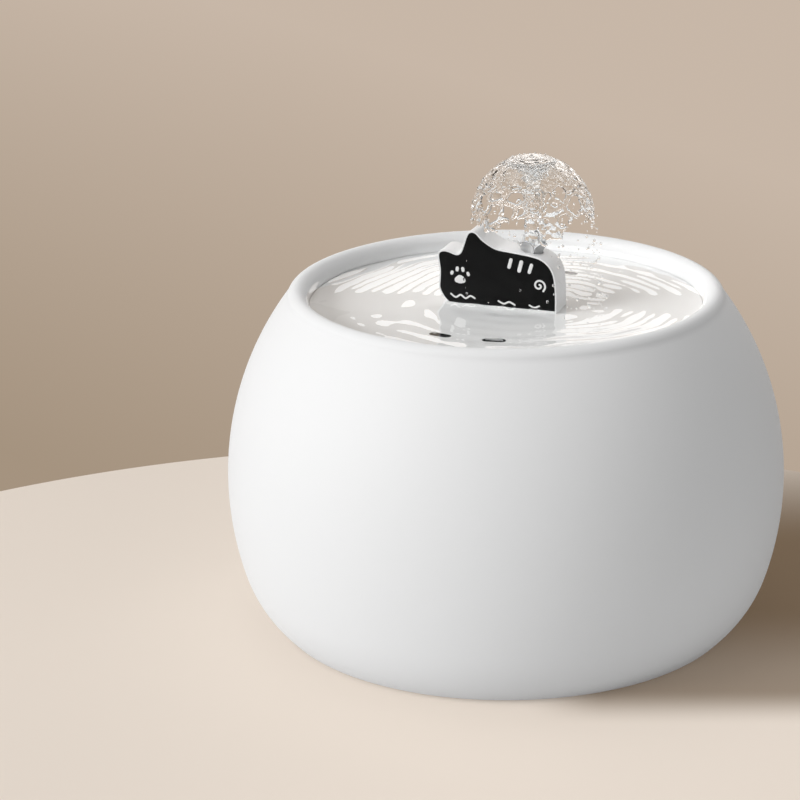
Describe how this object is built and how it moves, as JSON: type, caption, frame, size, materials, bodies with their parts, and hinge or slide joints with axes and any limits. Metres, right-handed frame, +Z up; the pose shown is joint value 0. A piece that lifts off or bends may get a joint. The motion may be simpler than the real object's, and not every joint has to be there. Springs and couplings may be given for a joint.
{
  "type": "pet water fountain",
  "caption": "Round white ceramic bowl fountain for pets: lift-out tray, filter basket, small pump, cat-shaped block and a nozzle that sprays a dome of water.",
  "frame": {"origin": "on the floor, under the middle of the round bowl", "axes": "+Z up; -Y faces the side with the black plate; +Y is the back with the cord gland"},
  "size_m": [0.2, 0.2, 0.1758],
  "materials": {
    "bowl_glaze": "satin white glaze",
    "pad_rubber": "matte grey silicone",
    "gland_plastic": "moulded white",
    "seal_rubber": "matte silicone",
    "riser_plastic": "smooth milky",
    "pump_plastic": "moulded black",
    "bush_rubber": "matte",
    "shaft_ceramic": "ground",
    "core_steel": "stamped laminations",
    "coil_copper": "lacquered winding wire",
    "potting_resin": "cast resin",
    "cup_rubber": "translucent silicone",
    "tray_plastic": "smooth white",
    "water": "clear water",
    "basket_plastic": "moulded white",
    "cotton": "fibre wadding",
    "resin_beads": "fine amber beads",
    "carbon": "black granules",
    "block_white": "smooth white",
    "panel_black": "satin black",
    "nozzle_plastic": "smooth white",
    "impeller_plastic": "moulded",
    "magnet": "sintered ferrite",
    "slider_plastic": "moulded"
  },
  "bodies": {
    "bowl": {"ceramic_bowl": "bowl_glaze", "foot_pads": "pad_rubber", "gland_bush": "gland_plastic", "gland_seal": "seal_rubber", "gland_nut": "gland_plastic", "riser_tube": "riser_plastic", "pump_body": "pump_plastic", "volute_housing": "pump_plastic", "intake_cover": "pump_plastic", "front_bush": "bush_rubber", "rear_bush": "bush_rubber", "impeller_shaft": "shaft_ceramic", "stator_core": "core_steel", "stator_coil": "coil_copper", "stator_potting": "potting_resin", "suction_cups": "cup_rubber"},
    "tray": {"tray": "tray_plastic", "water_pool": "water"},
    "filter": {"filter_basket": "basket_plastic", "filter_cotton": "cotton", "filter_resin": "resin_beads", "filter_carbon": "carbon"},
    "ornament": {"cat_shell": "block_white", "cat_panel": "panel_black"},
    "nozzle": {"nozzle": "nozzle_plastic", "water_dome": "water"},
    "rotor": {"impeller": "impeller_plastic", "rotor_magnet": "magnet"},
    "slider": {"flow_slider": "slider_plastic"}
  },
  "joints": [
    {"name": "tray_lift", "type": "slide", "parent": "bowl", "child": "tray", "axis": [0, 0, 1], "range_m": [0, 0.06]},
    {"name": "filter_drop", "type": "slide", "parent": "tray", "child": "filter", "axis": [0, 0, 1], "range_m": [-0.02, 0]},
    {"name": "cat_lift", "type": "slide", "parent": "tray", "child": "ornament", "axis": [0, 0, 1], "range_m": [0, 0.04]},
    {"name": "nozzle_lift", "type": "slide", "parent": "ornament", "child": "nozzle", "axis": [0, 0, 1], "range_m": [0, 0.012]},
    {"name": "impeller_spin", "type": "hinge", "parent": "bowl", "child": "rotor", "pos_m": [0.00916, -0.0053, 0.0298], "axis": [0, 1, 0], "continuous": true},
    {"name": "flow_slide", "type": "slide", "parent": "bowl", "child": "slider", "axis": [1, 0, 0], "range_m": [-0.008, 0]}
  ]
}
